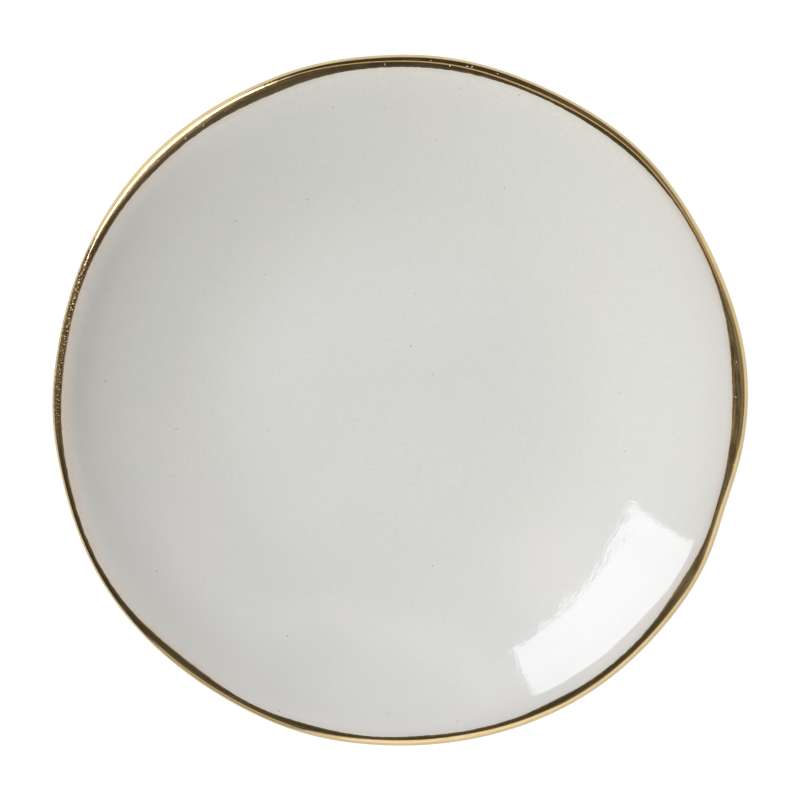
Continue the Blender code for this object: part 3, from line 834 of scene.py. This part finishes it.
def standing_panel(facing, left, right, low, high, edge=0.03, lean=0.0, bow=0.0, ragged=0.0):
    """A flat upright panel of light: the azimuth that it stands at, how far its
    sides lie from there (degrees), its lower and upper edges as tangents, how
    much its upper edge rises toward its right and bows up at its ends, and how
    ragged its sides and its upper edge are."""
    f = w.math("ADD", w.math("MULTIPLY", parts.outputs[0], math.cos(math.radians(facing))),
               w.math("MULTIPLY", parts.outputs[1], math.sin(math.radians(facing))))
    side = w.math("SUBTRACT", w.math("MULTIPLY", parts.outputs[1], math.cos(math.radians(facing))),
                  w.math("MULTIPLY", parts.outputs[0], math.sin(math.radians(facing))))
    f_safe = w.math("MAXIMUM", f, 0.02)
    u = w.math("DIVIDE", side, f_safe)
    v = w.math("DIVIDE", parts.outputs[2], f_safe)
    level = v
    if ragged:
        u = w.math("ADD", u, w.math("MULTIPLY", w.math("SUBTRACT", w.noise(direction, 75.0, 3.0, 0.6), 0.5), ragged))
        v = w.math("ADD", v, w.math("MULTIPLY", w.math("SUBTRACT", w.noise(direction, 60.0, 3.0, 0.6), 0.5), 1.8 * ragged))
    a, b = math.tan(math.radians(left)), math.tan(math.radians(right))
    wide = w.math("MULTIPLY", w.step(u, a - edge, a + edge), w.step(u, b + edge, b - edge))
    leaning = v
    if lean or bow:
        leaning = w.math("SUBTRACT", v, w.math("ADD", w.math("MULTIPLY", u, lean), w.math("MULTIPLY", w.math("MULTIPLY", u, u), bow)))
    tall = w.math("MULTIPLY", w.step(level, low - edge, low + edge), w.step(leaning, high + edge, high - edge))
    return w.math("MULTIPLY", w.math("MULTIPLY", wide, tall), w.step(f, 0.0, 0.04))


def round_the_room(stops, scale=1.0):
    """A value that changes smoothly with azimuth: (azimuth, value) stops."""
    node = world.node_tree.nodes.new("ShaderNodeValToRGB")
    node.color_ramp.interpolation = "EASE"
    share = w.math("FRACT", w.math("ADD", w.math("DIVIDE", azimuth, 2.0 * math.pi), 1.0))
    w.put(node.inputs[0], share)
    elements = node.color_ramp.elements
    while len(elements) > 1:
        elements.remove(elements[-1])
    first = True
    for degrees, value in stops:
        if first:
            element, first = elements[0], False
            element.position = degrees / 360.0
        else:
            element = elements.new(degrees / 360.0)
        element.color = (value / scale, value / scale, value / scale, 1.0)
    return w.math("MULTIPLY", node.outputs[0], scale) if scale != 1.0 else node.outputs[0]


def under(top, edge):
    """Below an elevation (degrees; a number or a value round the room)."""
    top = math.radians(top) if isinstance(top, (int, float)) else w.math("MULTIPLY", top, math.pi / 180.0)
    return w.step(w.math("SUBTRACT", height, top), math.radians(edge), math.radians(-edge))


BOX = 4.5
WHITE = (0.98, 1.0, 1.10)
WARM = (1.0, 0.84, 0.62)

# the dim room
add_light(w.math("SUBTRACT", 1.0, under(-20.0, 3.0)), 0.045, (1.16, 1.0, 0.94))
# the large soft box at the upper left, standing upright, and its glow above
add_light(standing_panel(140.0, -27.2, 18.7, 1.02, 1.5055, edge=0.003, lean=0.009, bow=0.263, ragged=0.05), BOX, WHITE)
add_light(standing_panel(140.0, -27.2, 12.0, 0.53, 1.02, edge=0.010), 0.45 * BOX, WHITE)
add_light(panel(133.0, 13.0, 50.0, 86.0, edge=6.0), 0.34, (1.0, 0.78, 0.58))
add_light(panel(132.0, 9.0, 50.0, 76.0, edge=7.0), 0.32, (1.0, 0.80, 0.60))
# a low part of it
add_light(panel(131.0, 5.0, 15.0, 34.0, edge=3.5), 1.5, WHITE)
# the white table: how high it is seen and how bright it is
table_top = round_the_room(((0, 64), (110, 64), (118, 84), (150, 84), (157, 50), (218, 49), (226, 46), (250, 45), (256, 62)), scale=100.0)
table_top = w.math("SUBTRACT", table_top, 62.0)
table_tone = round_the_room(((0, 0.72), (50, 0.70), (112, 0.75), (119, 0.80), (151, 0.80), (158, 0.77), (222, 0.74),
                             (252, 0.66), (270, 0.70), (300, 0.70), (325, 0.65), (345, 0.67)))
table_seen = under(table_top, 9.0)
near = w.step(height, math.radians(-40.0), math.radians(-66.0))
add_light(w.math("MULTIPLY", w.math("MULTIPLY", table_seen, table_tone), w.math("SUBTRACT", 1.0, w.math("MULTIPLY", near, 0.12))), 1.0)
# the pale wall along the lower right: how high it reaches and how bright it is
wall_top = round_the_room(((0, 21), (12, 20), (24, 23), (40, 12), (252, 18), (258, 36), (270, 44), (280, 49), (290, 42), (300, 35),
                           (311, 40), (321, 36), (331, 25), (343, 38), (352, 20)), scale=60.0)
wall_tone = round_the_room(((0, 0.58), (14, 0.46), (24, 0.54), (36, 0.42), (46, 0.0), (252.5, 0.0), (254, 0.60), (258, 0.68), (264, 0.98), (268, 0.98), (276, 0.92),
                            (292, 0.84), (310, 0.78), (330, 0.70), (342, 0.72), (352, 0.62)))
below_wall_top = w.math("MULTIPLY", under(wall_top, 7.0), w.math("SUBTRACT", 1.0, table_seen))
add_light(w.math("MULTIPLY", below_wall_top, wall_tone), 1.0)
# its glow fading upward at the right
glow = round_the_room(((0, 0.13), (12, 0.18), (24, 0.30), (38, 0.16), (52, 0.0), (270, 0.0), (285, 0.04), (310, 0.04), (326, 0.06), (340, 0.10)))
add_light(w.math("MULTIPLY", glow, w.math("MULTIPLY", under(68.0, 12.0), w.math("SUBTRACT", 1.0, under(6.0, 16.0)))), 1.0, (1.0, 0.84, 0.58))
# a screen at the lower left
add_light(panel(239.5, 13.0, -5.0, 26.0, edge=5.0, side_edge=1.8), 0.48, (1.0, 0.93, 0.76))
# and a dim one at the upper right
add_light(panel(53.0, 12.0, 0.0, 44.0, edge=7.0), 0.07, (1.0, 0.90, 0.72))
# dim warm wall at the left, and higher up behind the soft box
add_light(panel(172.0, 14.5, -20.0, 48.0, edge=3.0), 0.125, WARM)
add_light(panel(160.0, 38.0, 62.0, 80.0, edge=3.0), 0.05, WARM)
# the strip overhead
strip_at = round_the_room(((0, 60), (20, 61), (40, 57), (50, 55), (60, 55), (72, 64), (84, 61), (98, 58), (110, 46), (130, 46)), scale=90.0)
strip_tone = round_the_room(((0, 0.12), (10, 0.18), (24, 0.22), (38, 0.50), (50, 0.52), (66, 0.56), (90, 0.60), (106, 0.60), (113, 0.55), (118, 0.0), (290, 0.0), (330, 0.08)))
add_light(w.math("MULTIPLY", strip_tone, w.math("MULTIPLY", under(w.math("ADD", strip_at, 5.6), 3.0),
                                                w.math("SUBTRACT", 1.0, under(w.math("SUBTRACT", strip_at, 5.6), 3.0)))), 1.0, (1.0, 0.88, 0.68))
# faint far panels seen in the upper wall of the dish
add_light(panel(267.0, 40.0, 48.0, 53.6, edge=0.6), 0.13)
add_light(panel(266.0, 4.0, 48.0, 52.6, edge=0.8), 0.15)

lights = world.node_tree.nodes.new("ShaderNodeBackground")
w.put(lights.inputs["Color"], total)
pale = world.node_tree.nodes.new("ShaderNodeBackground")
pale.inputs["Color"].default_value = (1.0, 1.0, 1.0, 1.0)
pale.inputs["Strength"].default_value = 1.05
ray = world.node_tree.nodes.new("ShaderNodeLightPath")
choose = world.node_tree.nodes.new("ShaderNodeMixShader")
w.put(choose.inputs[0], ray.outputs["Is Camera Ray"])
w.put(choose.inputs[1], lights.outputs[0])
w.put(choose.inputs[2], pale.outputs[0])
world_out = world.node_tree.nodes.new("ShaderNodeOutputWorld")
w.put(world_out.inputs[0], choose.outputs[0])

# Very broad lamps give the dish its tone; its gloss shows the studio alone.
LAMPS = ((90.0, 30.0, 1.91, 40.0), (256.0, 29.0, 1.23, 40.0), (195.0, 45.0, 1.55, 40.0))
for number, (lamp_azimuth, lamp_elevation, strength, spread) in enumerate(LAMPS):
    lamp = bpy.data.lights.new("soft_%d" % number, "SUN")
    lamp.energy = strength
    lamp.angle = math.radians(spread)
    holder = bpy.data.objects.new("soft_%d" % number, lamp)
    bpy.context.scene.collection.objects.link(holder)
    e, a = math.radians(lamp_elevation), math.radians(lamp_azimuth)
    toward = Vector((math.cos(e) * math.cos(a), math.cos(e) * math.sin(a), math.sin(e)))
    holder.rotation_euler = toward.to_track_quat("Z", "Y").to_euler()
    holder.location = toward
    holder.visible_glossy = False
    holder.visible_camera = False

# ------------------------------------------------------------------ the camera
camera_data = bpy.data.cameras.new("camera")
camera = bpy.data.objects.new("camera", camera_data)
bpy.context.scene.collection.objects.link(camera)
camera_data.lens = 200.0
camera_data.sensor_width = 36.0
frame_width = 800 * 0.21639 * MM
distance = frame_width * camera_data.lens / camera_data.sensor_width
camera.location = (-0.22 * 0.21639 * MM, 0.05 * 0.21639 * MM, 0.0157 + distance)
camera.rotation_euler = (0.0, 0.0, 0.0)
camera_data.clip_start, camera_data.clip_end = 0.01, 20.0
bpy.context.scene.camera = camera

bpy.context.scene.view_settings.view_transform = "Standard"
bpy.context.scene.view_settings.look = "None"
